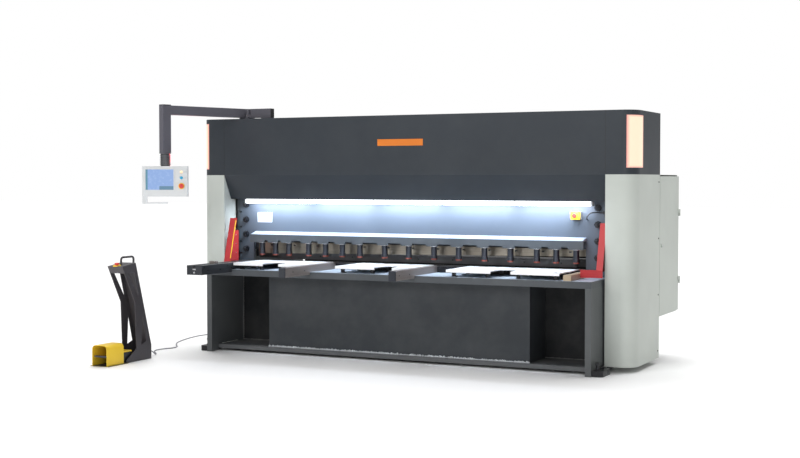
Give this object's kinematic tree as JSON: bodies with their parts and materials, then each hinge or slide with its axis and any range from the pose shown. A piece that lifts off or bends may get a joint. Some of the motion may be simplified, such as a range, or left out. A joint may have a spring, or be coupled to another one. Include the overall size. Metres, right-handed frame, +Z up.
{
  "type": "guillotine shear",
  "caption": "Hydraulic guillotine shear for sheet metal with a raked blade, hold-downs, finger guard, support arms, back gauge, swinging control pendant and a foot pedal station.",
  "frame": {"origin": "on the floor, at the centre of the four anchor holes in the feet", "axes": "+X along the blades to the operator's right, +Y from the operator's side to the rear, +Z up"},
  "size_m": [4.5092, 2.847, 2.157],
  "materials": {
    "frame_grey": "semi-gloss dark blue-grey paint",
    "hood_grey": "semi-gloss dark grey paint",
    "cover_green_grey": "satin light grey-green textured paint",
    "lamp_diffuser": "translucent diffuser, lit",
    "light_white": "lit diffuser",
    "black_steel": "blackened steel",
    "bare_steel": "ground steel with an oil film",
    "bright_plate": "bright ground plate",
    "blade_steel": "hardened tool steel",
    "guard_red": "semi-gloss red paint",
    "safety_yellow": "semi-gloss yellow",
    "stop_red": "gloss red",
    "button_white": "lit lens",
    "button_blue": "gloss blue",
    "panel_white": "satin white paint",
    "screen": "lit display",
    "cable_black": "matt sheath",
    "cord_grey": "matt sheath",
    "pad_red": "polyurethane pad",
    "chrome_rod": "hard chrome",
    "cast_grey": "painted casting",
    "label_white": "plain plate",
    "pedal_grey": "ribbed casting",
    "station_dark": "semi-gloss dark grey paint"
  },
  "bodies": {
    "frame": {"side_frame_left": "frame_grey", "side_frame_right": "frame_grey", "table_plate": "frame_grey", "table_legs": "frame_grey", "apron": "frame_grey", "recess_plates": "frame_grey", "foot_ears": "black_steel", "levelling_bolts": "black_steel", "hood_front": "hood_grey", "hood_ends": "hood_grey", "corner_lamps": "lamp_diffuser", "side_cover_left": "cover_green_grey", "side_cover_right": "cover_green_grey", "rear_box_left": "cover_green_grey", "cabinet_shell": "cover_green_grey", "hold_down_beam": "frame_grey", "clamp_bolts": "black_steel", "finger_guard": "frame_grey", "hold_down_cylinders": "black_steel", "lower_blade": "blade_steel", "blade_seat": "black_steel", "main_cylinders": "cast_grey", "power_pack": "cast_grey", "backgauge_rails": "bare_steel", "backgauge_motor": "black_steel", "rear_slide": "bare_steel", "sheet_plates": "bright_plate", "plate_posts": "black_steel", "squaring_arm": "bare_steel", "support_arms": "bare_steel", "arm_end_caps": "frame_grey", "stub_rail": "bare_steel", "throat_guards": "guard_red", "light_bar": "light_white", "label_plate": "label_white", "estop_housings": "safety_yellow", "stop_lead": "cable_black", "pedal_cord": "cord_grey", "cable_glands": "cable_black", "pendant_mast": "frame_grey", "pedal_station": "station_dark", "foot_switch": "safety_yellow"},
    "cutting_beam": {"cutting_beam": "frame_grey", "upper_blade": "blade_steel", "cylinder_rods": "chrome_rod"},
    "hold_downs": {"hold_down_plungers": "black_steel", "hold_down_pads": "pad_red"},
    "backgauge": {"backgauge_beam": "frame_grey"},
    "backgauge_screw": {"backgauge_screw": "chrome_rod"},
    "squaring_stop": {"squaring_stop": "bare_steel"},
    "cabinet_door": {"cabinet_door": "cover_green_grey"},
    "pendant_arm": {"pendant_arm": "frame_grey"},
    "panel": {"panel_housing": "panel_white", "panel_screen": "screen"},
    "start_button": {"start_button": "button_white"},
    "reset_button": {"reset_button": "button_blue"},
    "panel_stop": {"panel_stop_button": "stop_red"},
    "beam_stop": {"beam_stop_button": "stop_red"},
    "station_stop": {"station_stop_button": "stop_red"},
    "treadle": {"treadle": "pedal_grey"}
  },
  "joints": [
    {"name": "cutting_stroke", "type": "slide", "parent": "frame", "child": "cutting_beam", "axis": [0, 0, -1], "range_m": [0, 0.105]},
    {"name": "hold_down_stroke", "type": "slide", "parent": "frame", "child": "hold_downs", "axis": [0, 0, -1], "range_m": [0, 0.047], "stiffness_N_per_m": 16000, "springref_m": -0.04},
    {"name": "backgauge_travel", "type": "slide", "parent": "frame", "child": "backgauge", "axis": [0, 1, 0], "range_m": [0, 0.6]},
    {"name": "backgauge_screw_spin", "type": "hinge", "parent": "frame", "child": "backgauge_screw", "pos_m": [0, 0.34, 0.905], "axis": [0, 1, 0], "range_deg": [-100, 8840]},
    {"name": "squaring_stop_slide", "type": "slide", "parent": "frame", "child": "squaring_stop", "axis": [0, 1, 0], "range_m": [-0.25, 0.45]},
    {"name": "cabinet_door_hinge", "type": "hinge", "parent": "frame", "child": "cabinet_door", "pos_m": [2.026, 0.786, 0.9], "axis": [0, 0, 1], "range_deg": [0, 110]},
    {"name": "pendant_swing", "type": "hinge", "parent": "frame", "child": "pendant_arm", "pos_m": [-1.615, -0.425, 2.12], "axis": [0, 0, 1], "range_deg": [-90, 45]},
    {"name": "panel_swivel", "type": "hinge", "parent": "pendant_arm", "child": "panel", "pos_m": [-1.91232, -1.25538, 1.75], "axis": [0, 0, 1], "range_deg": [-90, 90]},
    {"name": "start_button_press", "type": "slide", "parent": "panel", "child": "start_button", "axis": [-0.5299, 0.848, 0], "range_m": [0, 0.004], "stiffness_N_per_m": 600},
    {"name": "reset_button_press", "type": "slide", "parent": "panel", "child": "reset_button", "axis": [-0.5299, 0.848, 0], "range_m": [0, 0.004], "stiffness_N_per_m": 600},
    {"name": "panel_stop_press", "type": "slide", "parent": "panel", "child": "panel_stop", "axis": [-0.5299, 0.848, 0], "range_m": [0, 0.006], "stiffness_N_per_m": 800},
    {"name": "beam_stop_press", "type": "slide", "parent": "frame", "child": "beam_stop", "axis": [0, 1, 0], "range_m": [0, 0.006], "stiffness_N_per_m": 800},
    {"name": "station_stop_press", "type": "slide", "parent": "frame", "child": "station_stop", "axis": [0, 0.1261, -0.992], "range_m": [0, 0.006], "stiffness_N_per_m": 800},
    {"name": "treadle_press", "type": "hinge", "parent": "frame", "child": "treadle", "pos_m": [-1.993, -1.866, 0.044], "axis": [1, 0, 0], "range_deg": [0, 10], "stiffness_Nm_per_rad": 40, "springref_deg": -8.59}
  ],
  "couplings": [
    {"joint": "backgauge_screw_spin", "follows": "backgauge_travel", "rad_per_m": 251.33}
  ]
}
